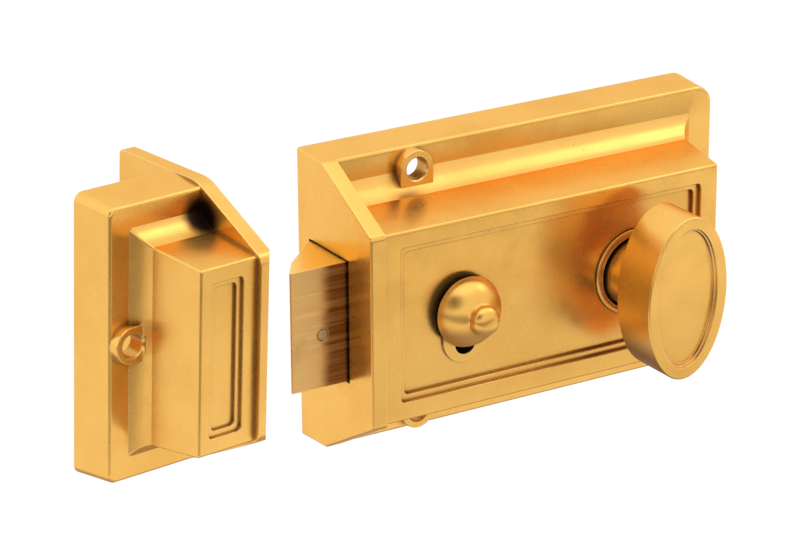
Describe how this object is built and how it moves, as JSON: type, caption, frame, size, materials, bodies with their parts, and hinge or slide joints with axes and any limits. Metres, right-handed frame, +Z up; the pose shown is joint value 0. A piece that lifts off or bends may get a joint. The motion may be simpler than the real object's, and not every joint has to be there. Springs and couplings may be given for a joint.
{
  "type": "rim night latch",
  "caption": "Surface-mounted rim night latch: bevelled spring bolt drawn by an oval turn knob, sliding snib, and a box strike shown apart beside it.",
  "frame": {"origin": "on the door face of the lock case, at mid height, 0.6 mm from the outer face of its left end wall, where the bolt comes out", "axes": "+X along the case away from the strike, +Y out of the lock's back into the door, +Z up"},
  "size_m": [0.1436, 0.0581, 0.0614],
  "materials": {
    "back_cover": "zinc-plated sheet",
    "back_cover_screw_1": "plain steel",
    "back_cover_screw_2": "plain steel",
    "back_cover_screw_3": "plain steel",
    "back_cover_screw_4": "plain steel",
    "bolt_drive_pin": "plain steel",
    "bolt_saw_pin": "plain steel",
    "bolt_spring_1": "spring steel",
    "bolt_spring_2": "spring steel",
    "bolt_spring_rod_1": "plain steel",
    "bolt_spring_rod_2": "plain steel",
    "bolt_tail": "plain steel",
    "bolt_tail_rivet_1": "plain steel",
    "bolt_tail_rivet_2": "plain steel",
    "detent_spring_screw": "plain steel",
    "hub_return_spring": "spring steel",
    "hub_washer": "plain steel",
    "knob_bush": "satin gold paint on zinc die casting",
    "knob_retaining_clip": "spring steel",
    "knob_spindle": "plain steel",
    "latch_bolt": "brushed brass",
    "lock_case": "satin gold paint on zinc die casting",
    "retractor_hub": "plain zinc casting",
    "snib_button": "satin gold paint on zinc die casting",
    "snib_detent_spring": "spring steel",
    "snib_pin": "plain steel",
    "snib_plate": "plain steel",
    "strike_casting": "satin gold paint on zinc die casting",
    "turn_knob": "satin gold paint on zinc die casting"
  },
  "bodies": {
    "lock": {"back_cover": "back_cover", "back_cover_screw_1": "back_cover_screw_1", "back_cover_screw_2": "back_cover_screw_2", "back_cover_screw_3": "back_cover_screw_3", "back_cover_screw_4": "back_cover_screw_4", "bolt_spring_1": "bolt_spring_1", "bolt_spring_2": "bolt_spring_2", "detent_spring_screw": "detent_spring_screw", "hub_return_spring": "hub_return_spring", "hub_washer": "hub_washer", "knob_bush": "knob_bush", "lock_case": "lock_case", "snib_detent_spring": "snib_detent_spring"},
    "bolt": {"latch_bolt": "latch_bolt", "bolt_tail": "bolt_tail", "bolt_saw_pin": "bolt_saw_pin", "bolt_drive_pin": "bolt_drive_pin", "bolt_tail_rivet_1": "bolt_tail_rivet_1", "bolt_tail_rivet_2": "bolt_tail_rivet_2", "bolt_spring_rod_1": "bolt_spring_rod_1", "bolt_spring_rod_2": "bolt_spring_rod_2"},
    "knob": {"turn_knob": "turn_knob", "knob_spindle": "knob_spindle", "knob_retaining_clip": "knob_retaining_clip", "retractor_hub": "retractor_hub"},
    "snib": {"snib_button": "snib_button", "snib_plate": "snib_plate", "snib_pin": "snib_pin"},
    "strike": {"strike_casting": "strike_casting"}
  },
  "joints": [
    {"name": "knob_turn", "type": "hinge", "parent": "lock", "child": "knob", "pos_m": [0.06135, -0.03, 0], "axis": [0, 1, 0], "range_deg": [0, 60], "stiffness_Nm_per_rad": 0.06, "springref_deg": -34.38, "deforming": ["hub_return_spring"]},
    {"name": "bolt_slide", "type": "slide", "parent": "lock", "child": "bolt", "axis": [1, 0, 0], "range_m": [0, 0.0125], "deforming": ["bolt_spring_1", "bolt_spring_2"]},
    {"name": "snib_slide", "type": "slide", "parent": "lock", "child": "snib", "axis": [0, 0, 1], "range_m": [-0.0065, 0]},
    {"name": "strike_swing", "type": "hinge", "parent": "lock", "child": "strike", "pos_m": [-0.00912, -0.12754, 0.02352], "axis": [-0.1144, -0.1722, -0.9784], "range_deg": [0, 10.93]}
  ],
  "couplings": [
    {"joint": "bolt_slide", "follows": "knob_turn", "m_per_rad": 0.011937}
  ]
}
